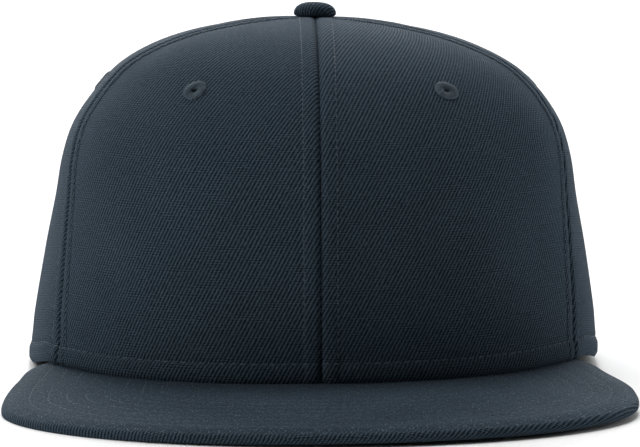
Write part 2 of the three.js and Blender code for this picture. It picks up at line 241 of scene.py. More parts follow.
panel_turns = {
    "front": lambda section: (np.zeros_like(section["rise"]), section["front_seam"]),
    "side": lambda section: (section["front_seam"], section["back_seam"]),
    "back": lambda section: (section["back_seam"], np.full_like(section["rise"], 180.0)),
}
seam_steps = np.array([0, 0.18, 0.4, 0.7, 1.1, 1.6, 2.3, 3.1, 3.8, 4.3, 4.65, 4.95, 5.3, 5.8, 6.6, 8.0])
hem_steps = np.array([0, 0.25, 0.6, 1.0, 1.6, 2.4, 3.4, 4.3, 4.9, 5.3, 5.6, 5.85, 6.15, 6.6, 7.3, 8.4, 9.8])
open_columns = 26
open_rows = 110
grain_middle = {"front": 0.18, "side": 0.5, "back": 0.5}


def panel_spread(kind, up_rows, columns_at):
    """For each row, the turns at distances along the panel: columns_at(width) gives them in millimetres."""
    section = crown_section(up_rows)
    low, high = panel_turns[kind](section)
    shares = np.linspace(0, 1, 241)
    turns, reaches = [], []
    for row, up in enumerate(up_rows):
        line = low[row] + (high[row] - low[row]) * shares
        length = length_along(crown_place(line, up))
        wanted = columns_at(length[-1])
        turns.append(np.interp(wanted, length, line))
        reaches.append(np.stack([wanted, length[-1] - wanted], axis=-1))
    return np.array(turns), np.array(reaches)


def panel_columns(width):
    """Columns close together by both seams, and even between them."""
    room = width - seam_join
    squeeze = min(1.0, 0.42 * room / seam_steps[-1])
    edge = seam_steps * squeeze
    middle = np.linspace(edge[-1], room - edge[-1], open_columns + 1)[1:-1]
    return np.concatenate([edge, middle, (room - edge)[::-1]]) + seam_join / 2


def add_uv_from(piece, places):
    """Gives a piece a UV map in millimetres of cloth, one pair for each vertex."""
    mesh = piece.data
    layer = mesh.uv_layers[0] if mesh.uv_layers else mesh.uv_layers.new(name="cloth")
    layer.name = "cloth"
    corners = np.empty(len(mesh.loops), dtype=np.int32)
    mesh.loops.foreach_get("vertex_index", corners)
    layer.data.foreach_set("uv", places[corners].astype(np.float32).ravel())


def shaped_grid(name, places, cloth_places):
    """A flat grid whose vertices are moved to places[row, column], with the cloth's flat places as its UVs."""
    rows, columns = places.shape[:2]
    bpy.ops.object.select_all(action="DESELECT")
    bpy.ops.mesh.primitive_grid_add(x_subdivisions=columns - 1, y_subdivisions=rows - 1, size=1)
    piece = bpy.context.object
    piece.name = name
    piece.data.name = name
    piece.data.vertices.foreach_set("co", places.reshape(-1).astype(np.float32))
    piece.data.update()
    add_uv_from(piece, cloth_places.reshape(-1, 2))
    return piece


def pick(piece):
    """Makes a piece the only one that is selected, and the active one."""
    bpy.ops.object.select_all(action="DESELECT")
    bpy.context.view_layer.objects.active = piece
    piece.select_set(True)


def apply_modifier(piece, kind, **settings):
    """Adds a modifier with its settings to a piece, and applies it."""
    pick(piece)
    modifier = piece.modifiers.new(kind.lower(), kind)
    for key, value in settings.items():
        setattr(modifier, key, value)
    bpy.ops.object.modifier_apply(modifier=modifier.name)


def settle(piece):
    """Gives a piece the cap's slightly uneven set: its crown rolls a little to the right and its peak tips up
    there. Then it takes the piece from the cap's own frame, in millimetres, to where the cap rests, in
    metres."""
    mesh = piece.data
    places = np.empty(len(mesh.vertices) * 3, dtype=np.float32)
    mesh.vertices.foreach_get("co", places)
    places = places.reshape(-1, 3).astype(float)
    x, y, z = places[:, 0].copy(), places[:, 1], places[:, 2].copy()
    across = x / peak_half_width
    tip_back = np.where(x > 0, 50.0, 0.0)
    low_front = (1 - smooth_step(y, tip_back - 70.0, tip_back)) * (1 - smooth_step(z, 5.0, 60.0))
    places[:, 0] += set_roll * (z - 40.0) * smooth_step(np.abs(x), 5.0, 45.0)
    places[:, 2] += set_tip * (across + across**2 / 3) * low_front - set_roll * x * smooth_step(z, 78.0, 98.0)
    mesh.vertices.foreach_set("co", places.astype(np.float32).ravel())
    mesh.transform(rest)
    mesh.update()


def smooth(piece, angle=50):
    pick(piece)
    bpy.ops.object.shade_smooth_by_angle(angle=math.radians(angle))


def linear_colour(text):
    """An sRGB hex colour as linear red, green, blue and alpha."""
    parts = [int(text[i:i + 2], 16) / 255 for i in (1, 3, 5)]
    return tuple(p / 12.92 if p <= 0.04045 else ((p + 0.055) / 1.055) ** 2.4 for p in parts) + (1.0,)


def add_node(material, kind, settings=None, **links):
    """Adds a node: settings are its properties and sockets, and links join its sockets to others' outputs."""
    tree = material.node_tree
    node = tree.nodes.new(kind)
    for key, value in (settings or {}).items():
        if isinstance(key, str) and hasattr(node, key):
            setattr(node, key, value)
        else:
            node.inputs[key].default_value = value
    for key, source in links.items():
        numbered = key[0] == "i" and key[1:].isdigit()
        tree.links.new(source, node.inputs[int(key[1:]) if numbered else key.replace("_", " ")])
    return node


def new_material(name):
    material = bpy.data.materials.new(name)
    material.use_nodes = True
    material.node_tree.nodes.clear()
    return material


def stretched(material, place, scale=(1.0, 1.0, 1.0), turn=0.0):
    settings = {"Scale": scale, "Rotation": (0, 0, math.radians(turn))}
    return add_node(material, "ShaderNodeMapping", settings, Vector=place).outputs["Vector"]


def bands(material, place, direction, pitch, distortion, detail, detail_scale, detail_roughness=0.5):
    """Soft stripes a pitch apart. A wave texture's bands repeat every 2 pi / 20 of their scaled length."""
    settings = {
        "bands_direction": direction, "Scale": 2 * math.pi / 20 / pitch, "Distortion": distortion,
        "Detail": detail, "Detail Scale": detail_scale, "Detail Roughness": detail_roughness,
    }
    return add_node(material, "ShaderNodeTexWave", settings, Vector=place).outputs["Fac"]


def noise(material, place, scale, detail, roughness):
    settings = {"Scale": scale, "Detail": detail, "Roughness": roughness}
    return add_node(material, "ShaderNodeTexNoise", settings, Vector=place).outputs["Fac"]


def times_plus(material, first, factor, plus, clamp=False):
    """The first times the factor, plus the last. Each of them is a number or a node's output."""
    node = add_node(material, "ShaderNodeMath", {"operation": "MULTIPLY_ADD", "use_clamp": clamp})
    for socket, value in zip(node.inputs, (first, factor, plus)):
        if isinstance(value, float):
            socket.default_value = value
        else:
            material.node_tree.links.new(value, socket)
    return node.outputs["Value"]


def mapped(material, value, start, stop, low, high):
    """The values from start to stop, spread from low to high."""
    settings = {"From Min": start, "From Max": stop, "To Min": low, "To Max": high}
    return add_node(material, "ShaderNodeMapRange", settings, Value=value).outputs["Result"]


def blend_of(material, share, dark, light):
    settings = {"data_type": "RGBA", 6: linear_colour(dark), 7: linear_colour(light)}
    return add_node(material, "ShaderNodeMix", settings, i0=share).outputs[2]


def bumps(material, height, strength, depth):
    """The normals of a relief, whose depth is in millimetres."""
    settings = {"Strength": strength, "Distance": depth * MM}
    return add_node(material, "ShaderNodeBump", settings, Height=height).outputs["Normal"]


def finish_material(material, settings, **links):
    shader = add_node(material, "ShaderNodeBsdfPrincipled", settings, **links)
    add_node(material, "ShaderNodeOutputMaterial", Surface=shader.outputs["BSDF"])
    return material


def twill_material(name, rib_show, nap, valley, ridge, fuzz, sheen):
    """Wool-blend twill: a 2/1 weave whose floats lie side by side in slanting ribs, with the picks of the
    weft across them as a faint ladder. It reads the cloth UVs, in millimetres, so the ribs follow each piece
    as it was cut. Fibre ends stand up from it, lie along the cloth by nap, catch the light, and blur the ribs
    where rib_show is low."""
    # Millimetres between ribs and between picks, as far apart as the photo shows them, and the ribs' slope.
    rib_spacing, pick_spacing, rib_angle = 1.08, 0.76, 62.0
    material = new_material(name)
    cloth = add_node(material, "ShaderNodeUVMap", {"uv_map": "cloth"}).outputs["UV"]
    turned = stretched(material, cloth, turn=90 - rib_angle)
    ribs = bands(
        material, turned, "X", rib_spacing, distortion=1.3, detail=2.5, detail_scale=2.6, detail_roughness=0.7,
    )
    picks = bands(material, cloth, "Y", pick_spacing, distortion=0.7, detail=1.0, detail_scale=1.5)
    long_patches = stretched(material, cloth, scale=(0.10, 0.34, 1.0))
    patches = noise(material, long_patches, scale=1.0, detail=2.0, roughness=0.6)
    floats = stretched(material, turned, scale=(1.0, 0.4, 1.0))
    yarn = noise(material, floats, scale=1.7, detail=3.0, roughness=0.65)
    combed = stretched(material, cloth, scale=(1.0, 1 / nap, 1.0))
    fibre = noise(material, combed, scale=2.2, detail=3.0, roughness=0.7)
    broad = noise(material, cloth, scale=0.045, detail=2.0, roughness=0.5)
    ladder = mapped(material, patches, start=0.46, stop=0.62, low=0.1, high=1.0)
    rungs = times_plus(material, times_plus(material, picks, 0.85, -0.42), ladder, 0.0)
    crest = times_plus(material, ribs, rib_show, rungs)
    uneven = times_plus(material, yarn, 1.1, -0.62)
    yarn_colour = blend_of(material, times_plus(material, crest, 1.0, uneven, clamp=True), valley, ridge)
    speck = mapped(material, fibre, start=0.55, stop=0.76, low=0.0, high=0.7)
    fuzzed = add_node(
        material, "ShaderNodeMix", {"data_type": "RGBA", 7: linear_colour(fuzz)}, i0=speck, i6=yarn_colour,
    ).outputs[2]
    shade = mapped(material, broad, start=0.3, stop=0.7, low=0.94, high=1.06)
    colour = add_node(
        material, "ShaderNodeVectorMath", {"operation": "SCALE"}, i0=fuzzed, Scale=shade,
    ).outputs["Vector"]
    height = times_plus(material, fibre, 0.5, times_plus(material, yarn, 0.5, crest))
    return finish_material(
        material,
        {"Roughness": 0.88, "Sheen Weight": sheen, "Sheen Roughness": 0.5,
         "Sheen Tint": linear_colour("#c6e0ff"), "Specular IOR Level": 0.03},
        Base_Color=colour, Normal=bumps(material, height, strength=0.8, depth=0.16),
    )


crown_twill = twill_material(
    "wool_blend_twill", rib_show=1.0, nap=1.0, valley="#131c24", ridge="#465561", fuzz="#748490", sheen=0.046,
)


def crown_panel(kind, side):
    """One gore of the crown, from its seam lips to its hem, with its wall turned inwards. side is 1 or -1."""
    hem_shares = [up_at_height(height) for height in hem_steps]
    up_rows = np.concatenate([hem_shares, np.linspace(hem_shares[-1], 1, open_rows + 1)[1:]])
    turns, reaches = panel_spread(kind, up_rows, panel_columns)
    ups = np.repeat(up_rows[:, None], turns.shape[1], axis=1)
    width = reaches.sum(axis=-1)
    places, _ = sewn_place(turns, ups, reaches.min(axis=-1), width)
    climb = length_along(places[:, turns.shape[1] // 2])
    across = reaches[..., 0] - width * grain_middle[kind]
    cloth_places = np.stack([across, np.repeat(climb[:, None], turns.shape[1], axis=1)], axis=-1)
    if side < 0:
        places = places[:, ::-1] * (-1, 1, 1)
        cloth_places = cloth_places[:, ::-1] * (-1, 1)
    name = f"{kind}_panel_{'right' if side > 0 else 'left'}"
    piece = shaped_grid(f"{name}_cloth", places, cloth_places)
    apply_modifier(piece, "SOLIDIFY", thickness=cloth_wall, offset=-1, use_rim=True)
    piece.data.materials.append(crown_twill)
    return piece, name


crown_panels = {("front", side): crown_panel("front", side) for side in (1, -1)}


# Side and back panels: the other four gores of the same twill. The two at the back are cut away below in a
# half-moon for the strap, and all six meet under the button.
opening_half_width = 42.0
opening_height = 52.0
eyelet_up = 0.6
eyelet_across = {"front": 0.43, "side": 0.56, "back": 0.55}
eyelet_cut_radius = 1.75


def cut_with(piece, cutter, solver="EXACT"):
    """Cuts a shape out of a piece. A cut across a seam's lip, where the wall's faces cross, needs MANIFOLD."""
    apply_modifier(piece, "BOOLEAN", object=cutter, operation="DIFFERENCE", solver=solver)
    bpy.data.objects.remove(cutter)


def eyelet_seat(kind, side):
    """The middle of a panel's eyelet on the cloth's face, and the direction in which it faces outwards."""
    low, high = panel_turns[kind](crown_section(np.array(eyelet_up)))
    turn = float(low + (high - low) * eyelet_across[kind])
    flip = np.array((side, 1, 1))
    return Vector(crown_place(turn, eyelet_up) * flip), Vector(crown_out(turn, eyelet_up) * flip)


for kind in ("side", "back"):
    for side in (1, -1):
        crown_panels[(kind, side)] = crown_panel(kind, side)

for (kind, side), (piece, node) in crown_panels.items():
    seat, out = eyelet_seat(kind, side)
    bpy.ops.object.select_all(action="DESELECT")
    bpy.ops.mesh.primitive_cylinder_add(
        vertices=32, radius=eyelet_cut_radius, depth=cloth_wall * 6, location=seat,
        rotation=out.to_track_quat("Z", "Y").to_euler(),
    )
    cut_with(piece, bpy.context.object)
    if kind == "back":
        bpy.ops.object.select_all(action="DESELECT")
        bpy.ops.mesh.primitive_cylinder_add(
            vertices=128, radius=1, depth=crown_back, location=(0, crown_back, 0),
            rotation=(math.pi / 2, 0, 0), scale=(opening_half_width, opening_height, 1),
        )
        cut_with(piece, bpy.context.object, solver="MANIFOLD")
    settle(piece)
    smooth(piece)
    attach(piece, "root")
    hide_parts(node)


# Seam tapes: soft cotton tape inside the crown, along each of its six seams. It is sewn over the pressed
# turnings, so that they lie flat against the head.
tape_half_width = 6.5
tape_wall = 0.5
tape_clear = 2.0
tape_tuck = 1.5
band_height = 32.0
weave_pitch = 0.9


def close_skin(piece, reach=0.002):
    """Joins the vertices that lie together on a skin, and turns its faces outwards."""
    pick(piece)
    bpy.ops.object.mode_set(mode="EDIT")
    bpy.ops.mesh.select_all(action="SELECT")
    bpy.ops.mesh.remove_doubles(threshold=reach)
    bpy.ops.mesh.normals_make_consistent(inside=False)
    bpy.ops.object.mode_set(mode="OBJECT")


def wrapped_piece(name, loops, cloth_places=None):
    """A closed skin through loops[section, corner]: last corner meets first, and its ends are drawn shut."""
    start = np.repeat(loops[:1].mean(axis=1, keepdims=True), loops.shape[1], axis=1)
    end = np.repeat(loops[-1:].mean(axis=1, keepdims=True), loops.shape[1], axis=1)
    skin = np.concatenate([start, loops, end])
    skin = np.concatenate([skin, skin[:, :1]], axis=1)
    if cloth_places is None:
        around = np.linalg.norm(np.diff(skin, axis=1), axis=-1)
        along = np.linalg.norm(np.diff(skin, axis=0), axis=-1)
        across = np.concatenate([np.zeros((len(skin), 1)), np.cumsum(around, axis=1)], axis=1)
        length = np.concatenate([np.zeros((1, skin.shape[1])), np.cumsum(along, axis=0)])
        cloth_places = np.stack([across, length], axis=-1)
    piece = shaped_grid(name, skin, cloth_places)
    close_skin(piece)
    return piece


def woven_material(name, thread_pitch, dark, light):
    """Plain-woven cotton: warp and weft cross at right angles as a fine grid of rounded threads, so it looks
    even and matt from all sides, with slubs where the yarn is uneven."""
    material = new_material(name)
    cloth = add_node(material, "ShaderNodeUVMap", {"uv_map": "cloth"}).outputs["UV"]
    warp, weft = (
        bands(material, cloth, direction, thread_pitch, distortion=0.4, detail=1.0, detail_scale=1.5)
        for direction in "XY"
    )
    slub = noise(material, cloth, scale=0.5, detail=4.0, roughness=0.65)
    threads = times_plus(material, warp, weft, 0.0)
    weave = times_plus(material, threads, 0.55, slub, clamp=True)
    tone = mapped(material, weave, start=0.35, stop=1.0, low=0.0, high=1.0)
    return finish_material(
        material,
        {"Roughness": 0.9, "Sheen Weight": 0.02, "Sheen Roughness": 0.5, "Specular IOR Level": 0.03},
        Base_Color=blend_of(material, tone, dark, light),
        Normal=bumps(material, weave, strength=0.6, depth=0.1),
    )


band_cotton = woven_material("cotton_tape_and_band", weave_pitch, "#12161b", "#2a323b")
tape_seams = {
    "front": ("front", 0, 1), "front_right": ("side", 0, 1), "front_left": ("side", 0, -1),
    "back_right": ("back", 0, 1), "back_left": ("back", 0, -1), "back": ("back", -1, 1),
}
for name, (kind, edge, side) in tape_seams.items():
    low_up = up_at_height(opening_height + tape_clear if name == "back" else band_height - tape_tuck)
    ups = np.linspace(low_up, 0.985, 60)
    seam_turn = panel_turns[kind](crown_section(ups))[edge]
    seam = crown_place(seam_turn, ups)
    ahead = unit(crown_place(seam_turn + 0.25, ups) - crown_place(seam_turn - 0.25, ups))
    out = crown_out(seam_turn, ups)
    half = tape_half_width * np.interp(ups, [0.8, 0.985], [1.0, 0.3])
    outer_depth = cloth_wall + 0.15
    section = [(-1.0, 0.0), (-0.5, 0.0), (0.0, 0.0), (0.5, 0.0), (1.0, 0.0),
               (1.0, 1.0), (0.5, 1.15), (0.0, 1.0), (-0.5, 1.15), (-1.0, 1.0)]
    loops = np.stack([
        seam + ahead * (across * half)[:, None] - out * (outer_depth + tape_wall * deep)
        for across, deep in section
    ], axis=1) * (side, 1, 1)
    tape = wrapped_piece(f"seam_tape_{name}", loops)
    tape.data.materials.append(band_cotton)
    settle(tape)
    smooth(tape)
    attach(tape, "root")


# Top-stitching: two rows of lock-stitch beside every seam of the crown and one along the hem, in a polyester
# thread a little lighter than the cloth. Each stitch is a short length of thread that dips into the cloth at
# both ends.
seam_pitch = 2.2
hem_pitch = 2.9
thread_gauge = 0.46
stitch_lift = 0.06
random.seed(11)


def row_at(values, length, where):
    """A row's values, each given at a length along it, at one place between them."""
    return np.array([np.interp(where, length, values[:, i]) for i in range(3)])


def stitch_rows(name, rows, pitch, gauge, thread):
    """Lays a small spindle of thread for each stitch along rows of (points, outward normals), as a piece."""
    bpy.ops.object.select_all(action="DESELECT")
    bpy.ops.mesh.primitive_uv_sphere_add(segments=6, ring_count=5, radius=0.5)
    piece = bpy.context.object
    piece.name = name
    piece.data.name = name
    spindle = np.array([vertex.co for vertex in piece.data.vertices])
    faces = [list(face.vertices) for face in piece.data.polygons]
    corners, polygons = [], []
    for points, outs in rows:
        length = length_along(points)
        count = max(int(length[-1] / pitch), 1)
        for stitch in range(count):
            at = (stitch + 0.5 + random.uniform(-0.06, 0.06)) * length[-1] / count
            out = unit(row_at(outs, length, at))
            along = unit(row_at(points, length, at + 0.3) - row_at(points, length, at - 0.3))
            across = np.cross(out, along)
            along = unit(along + across * (0.10 + random.uniform(-0.07, 0.07)))
            across = np.cross(out, along)
            long = pitch * random.uniform(0.66, 0.8)
            wide = gauge * random.uniform(0.9, 1.1)
            middle = row_at(points, length, at) + out * stitch_lift
            place = (
                middle
                + along * spindle[:, 2:3] * long
                + across * spindle[:, 0:1] * wide
                + out * spindle[:, 1:2] * wide * 0.8
            )
            base = len(corners) * len(spindle)
            polygons.extend([[base + corner for corner in face] for face in faces])
            corners.append(place)
    piece.data.clear_geometry()
    piece.data.from_pydata(np.concatenate(corners).tolist(), [], polygons)
    piece.data.update()
    piece.data.materials.append(thread)
    settle(piece)
    pick(piece)
    bpy.ops.object.shade_smooth()
    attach(piece, "root")
    return piece


def thread_material(name, dark, light):
    """Spun polyester thread: two plies twisted together, so it glints in short slanting steps and has a soft
    lustre that the wool around it lacks."""
    material = new_material(name)
    place = add_node(material, "ShaderNodeTexCoord").outputs["Object"]
    ply_pitch = 0.45 * MM
    plies = bands(material, place, "DIAGONAL", ply_pitch, distortion=2.0, detail=1.0, detail_scale=2000.0)
    shade = noise(material, place, scale=240.0, detail=2.0, roughness=0.6)
    tone = mapped(material, times_plus(material, plies, 0.5, shade), start=0.4, stop=1.05, low=0.0, high=1.0)
    return finish_material(
        material, {"Roughness": 0.6, "Sheen Weight": 0.01, "Specular IOR Level": 0.08},
        Base_Color=blend_of(material, tone, dark, light),
        Normal=bumps(material, plies, strength=0.5, depth=0.08),
    )


stitch_thread = thread_material("spun_polyester_thread", "#39434e", "#5c6974")


def seam_row(kind, side, edge, lowest):
    """A row of stitches beside one edge of a panel, up to where the rows of its two edges meet."""
    ups = np.linspace(up_at_height(lowest), 0.995, 260)
    turns, reaches = panel_spread(
        kind, ups, lambda width: np.array([seam_band if edge == 0 else width - seam_band]),
    )
    width = reaches.sum(axis=-1)
    points, outs = sewn_place(turns, ups[:, None], np.full_like(turns, seam_band), width)
    keep = width[:, 0] > 2 * seam_band + 1.0
    return points[keep, 0] * (side, 1, 1), outs[keep, 0] * (side, 1, 1)


for kind in ("front", "side", "back"):
    rows = []
    for side in (1, -1):
        rows.append(seam_row(kind, side, 0, hem_band + 1.2))
        lowest = opening_height + 6.5 if kind == "back" else hem_band + 1.2
        rows.append(seam_row(kind, side, 1, lowest))
    stitch_rows(f"seam_stitches_{kind}", rows, seam_pitch, thread_gauge, stitch_thread)

hem_up = up_at_height(hem_band)
hem_rows = []
for kind in ("front", "side", "back"):
    turns, reaches = panel_spread(kind, np.array([hem_up]), lambda width: np.linspace(0.4, width - 0.4, 160))
    points, outs = sewn_place(turns, np.full_like(turns, hem_up), reaches.min(axis=-1), reaches.sum(axis=-1))
    keep = (points[0, :, 1] < 0) | (points[0, :, 0] > opening_half_width + 5.0)
    for side in (1, -1):
        hem_rows.append((points[0, keep] * (side, 1, 1), outs[0, keep] * (side, 1, 1)))
stitch_rows("hem_stitches", hem_rows, hem_pitch, gauge=0.5, thread=stitch_thread)


# Binding of the back opening: a folded strip of the crown's twill, sewn round the raw edge of the half-moon
# with one row of stitches.
binding_stitch = 4.4
binding_stitch_proud = 0.36
binding_profile = [
    (6.0, -0.3), (6.0, 0.22), (5.7, 0.42), (5.0, 0.46), (4.4, 0.34), (3.8, 0.48), (2.4, 0.62), (1.0, 0.62),
    (0.1, 0.5), (-0.45, 0.1), (-0.62, -0.6), (-0.6, -1.3), (-0.4, -1.9), (0.2, -2.25), (1.4, -2.4),
    (3.0, -2.35), (4.4, -2.25), (5.6, -2.3), (6.0, -2.1), (6.0, -1.5),
]


def back_place(x, height):
    """The crown's back face at a distance to the side of its middle and a height above the level hem."""
    shares = np.linspace(0, 1, 4001)
    up = np.interp(height, crown_section(shares)["rise"] * crown_height, shares)
    side_share = np.clip(x / (crown_section(up)["side"] * crown_half_width), -1, 1)
    turn = 180 - np.degrees(np.arcsin(signed_power(side_share, back_squareness / 2)))
    return turn, up


angles = np.radians(np.linspace(0, 180, 121))
loops = []
for reach, proud in binding_profile:
    turn, up = back_place(
        (opening_half_width + reach) * np.cos(angles),
        np.maximum((opening_height + reach) * np.sin(angles), 0.05),
    )
    loops.append(crown_place(turn, up) + crown_out(turn, up) * proud)
binding = wrapped_piece("opening_binding", np.stack(loops, axis=1))
binding.data.materials.append(crown_twill)
settle(binding)
smooth(binding)
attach(binding, "root")

turn, up = back_place(
    (opening_half_width + binding_stitch) * np.cos(angles[3:-3]),
    (opening_height + binding_stitch) * np.sin(angles[3:-3]),
)
out = crown_out(turn, up)
binding_row = crown_place(turn, up) + out * binding_stitch_proud
stitch_rows("binding_stitches", [(binding_row, out)], hem_pitch, thread_gauge, stitch_thread)


# Eyelets: one in each panel for air, worked in satin stitch. Close radial stitches of the thread are pulled
# tight over a punched hole, so each ring is a low ridged doughnut that funnels into the hole.
eyelet_threads = 34
eyelet_profile = [
    (0.80, -2.0), (0.82, -1.0), (0.90, -0.3), (1.08, 0.10), (1.40, 0.34), (1.85, 0.50), (2.35, 0.54),
    (2.85, 0.48), (3.30, 0.34), (3.62, 0.14), (3.80, -0.12), (3.70, -0.40), (2.80, -0.45), (1.70, -0.5),
    (1.62, -2.0),
]
eyelet_thread = thread_material("satin_stitch_thread", "#3a464f", "#586670")
for kind in ("front", "side", "back"):
    for side in (1, -1):
        seat, out = eyelet_seat(kind, side)
        steps = eyelet_threads * 4
        pulls = [random.uniform(-0.16, 0.16) for _ in range(eyelet_threads)]
        lifts = [random.uniform(-0.07, 0.07) for _ in range(eyelet_threads)]
        leans = [random.uniform(-0.02, 0.02) for _ in range(eyelet_threads)]
        frame_of_seat = out.to_track_quat("Z", "Y").to_matrix()
        loops = []
        for step in range(steps + 1):
            thread = (step // 4) % eyelet_threads
            round_off = math.sin(math.pi * ((step % 4) + 0.001) / 4)
            angle = 2 * math.pi * step / steps + leans[thread] * (step < steps)
            section = []
            for radius, height in eyelet_profile:
                outer = smooth_step(radius, 1.0, 3.6)
                top = smooth_step(height, -0.3, 0.3)
                grown = radius + outer * (pulls[thread] + 0.10 * round_off - 0.05)
                raised = height + top * (lifts[thread] + 0.16 * round_off - 0.08)
                local = Vector((grown * math.cos(angle), grown * math.sin(angle), raised))
                section.append(seat + frame_of_seat @ local)
            loops.append(section)
        rounds = np.array(loops)
        rounds[-1] = rounds[0]
        skin = np.concatenate([rounds, rounds[:, :1]], axis=1)
        flat = np.stack(np.meshgrid(np.arange(skin.shape[1]), np.arange(skin.shape[0])), axis=-1) * 0.4
        ring = shaped_grid(f"eyelet_{kind}_{'right' if side > 0 else 'left'}_stitched", skin, flat)
        close_skin(ring)
        ring.data.materials.append(eyelet_thread)
        settle(ring)
        smooth(ring, 80)
        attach(ring, "root")
        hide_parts(f"eyelet_{kind}_{'right' if side > 0 else 'left'}")


# Button: a metal shell covered in the crown's twill, which is gathered under its rim. Its shank goes through
# the hole where the six panels meet and is clinched inside.
button_profile = [
    (0.0, 4.60), (1.0, 4.585), (2.0, 4.52), (3.0, 4.37), (3.9, 4.14), (4.7, 3.80), (5.35, 3.38), (5.85, 2.88),
    (6.2, 2.32), (6.42, 1.75), (6.5, 1.2), (6.42, 0.72), (6.15, 0.36), (5.6, 0.12), (4.4, 0.05), (1.8, 0.05),
    (1.8, -2.6), (4.2, -2.7), (4.4, -3.1), (4.0, -3.45), (0.0, -3.5),
]
button_sides = 112
gather_count = 27
lengths = length_along(np.array(button_profile))
skin, flat = [], []
for step in range(button_sides + 1):
    angle = 2 * math.pi * step / button_sides
    ripple = math.sin(gather_count * angle) + 0.6 * math.sin(11 * angle + 1.0)
    column, places = [], []
    for (radius, height), length in zip(button_profile, lengths):
        gather = 0.07 * ripple * float(smooth_step(radius, 5.0, 6.4)) * (height > 0.2)
        r = radius + gather
        column.append((r * math.cos(angle), r * math.sin(angle), crown_height + height))
        places.append((length * math.cos(angle), length * math.sin(angle)))
    skin.append(column)
    flat.append(places)
button = shaped_grid("covered_button", np.array(skin), np.array(flat))
close_skin(button)
button.data.materials.append(crown_twill)
settle(button)
smooth(button)
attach(button, "root")
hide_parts("top_button")


# Sweatband: a folded band of soft cotton inside the hem, from one end of the strap round the front to the
# other. It is sewn in along the hem, and its upper edge stands a little loose.
strap_wall = 1.3
strap_tuck = 12.0
band_depth = 2.1
band_wall = 1.2
band_stitch_height = 3.4
band_end_turn = float(back_place(opening_half_width + strap_tuck + 0.3, 0.05)[0])
band_turns = np.linspace(-band_end_turn, band_end_turn, 241)
band_profile = [
    (0.3, 0.1), (1.5, 0.0), (4.0, 0.0), (8.0, 0.0), (14.0, 0.0), (20.0, 0.0), (26.0, 0.0), (30.5, 0.0),
    (31.6, 0.15), (32.0, 0.5), (31.6, 0.95), (30.5, 1.2), (29.0, 1.05), (26.0, 1.2), (20.0, 1.2), (14.0, 1.2),
    (8.0, 1.2),
    (4.4, 1.2), (3.4, 1.0), (2.4, 1.2), (0.8, 1.2), (0.3, 0.9),
]


def inside_place(turn, height, depth):
    """A point at a depth inside the crown's face. Near the hem the depth is level, as the hem's edge is."""
    up = up_at_height(height)
    place = crown_place(turn, up)
    out = crown_out(turn, up)
    share = smooth_step(height, 2.0, 12.0)
    direction = unit(unit(out * (1, 1, 0)) * (1 - share) + out * share)
    return place - direction * np.asarray(depth)[..., None]


loops = []
for height, deep in band_profile:
    wave = 0.5 + 0.35 * np.sin(band_turns / 7.0) + 0.2 * np.sin(band_turns / 3.1)
    loose = smooth_step(height, 8.0, 32.0) * wave
    loops.append(inside_place(band_turns, height, band_depth + deep + loose))
sweatband = wrapped_piece("sweatband_folded", np.stack(loops, axis=1))
sweatband.data.materials.append(band_cotton)
settle(sweatband)
smooth(sweatband, 70)
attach(sweatband, "root")
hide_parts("sweatband")

band_row = inside_place(band_turns[2:-2], band_stitch_height, np.full(len(band_turns) - 4, band_depth + 1.0))
band_out = -crown_out(band_turns[2:-2], up_at_height(band_stitch_height))
stitch_rows("band_stitches", [(band_row, band_out)], hem_pitch, thread_gauge, stitch_thread)


# Peak cover: the same twill stretched over a flat stiff board and rolled over its edge. Eight rows of
# lock-stitch follow the outline and quilt it to the board, and it goes up under the hem of the front panels.
peak_length = 70.0
peak_round_depth = 63.5
peak_corner_reach = 2.0
peak_cover_wall = 2.0
peak_under_wall = 1.5
peak_rim = 1.8
peak_edge_radius = 1.4
peak_thickness = peak_cover_wall + seam_gap + peak_under_wall
peak_stitch_first = 8.0
peak_stitch_step = 5.4
peak_stitch_rows = 8
round_share = 0.66
peak_spokes = 260
peak_crown_depth = cloth_wall + seam_gap + band_wall


def hem_inside(turn, depth):
    """Points of the hem line in plan, moved a depth level inwards from the crown's outer face."""
    place = crown_place(turn, np.zeros_like(turn))
    level = unit(crown_out(turn, np.zeros_like(turn)) * (1, 1, 0))
    return place[..., :2] - level[..., :2] * depth


corner = hem_inside(np.array([peak_wrap_turn]), -peak_corner_reach)[0]
wide_y = -(crown_front + peak_length - peak_round_depth)


def peak_outline(share):
    """The peak's outer edge in plan: a round front, then sides that draw in to the corners, more so on the
    right. On the left the side runs a little wider, straight on to its corner."""
    side, way = np.sign(share), np.abs(share)
    angle = np.minimum(way / round_share, 1) * math.pi / 2
    back = np.clip((way - round_share) / (1 - round_share), 0, 1)
    is_round = way <= round_share
    side_x = corner[0] + (peak_half_width - corner[0]) * (1 - back**2)
    side_y = wide_y + (corner[1] - wide_y) * back
    x = np.where(is_round, np.sin(angle) * peak_half_width, side_x)
    y = np.where(is_round, wide_y - peak_round_depth * np.cos(angle), side_y)
    drawn_in = (3.4 * smooth_step(y, -100.0, -70.0) - 0.7) * smooth_step(share, 0.3, 0.6)
    let_out = 2.2 * smooth_step(y, -78.0, -50.0) * smooth_step(-share, 0.3, 0.6)
    return np.stack([side * x - drawn_in - let_out, y], axis=-1)


edge_line = peak_outline(np.linspace(-1, 1, 1601))
edge_step = np.gradient(edge_line, axis=0)
edge_inward = unit(np.stack([-edge_step[:, 1], edge_step[:, 0]], axis=-1))
edge_inward[0], edge_inward[-1] = edge_inward[1], edge_inward[-2]


def distance_to_edge(plan):
    """How far points in plan lie from the peak's outer edge."""
    flat = plan.reshape(-1, 2)
    nearest = [np.min(np.linalg.norm(part[:, None] - edge_line[None, ::4], axis=-1), axis=1)
               for part in np.array_split(flat, max(len(flat) // 2000, 1))]
    return np.concatenate(nearest).reshape(plan.shape[:-1])


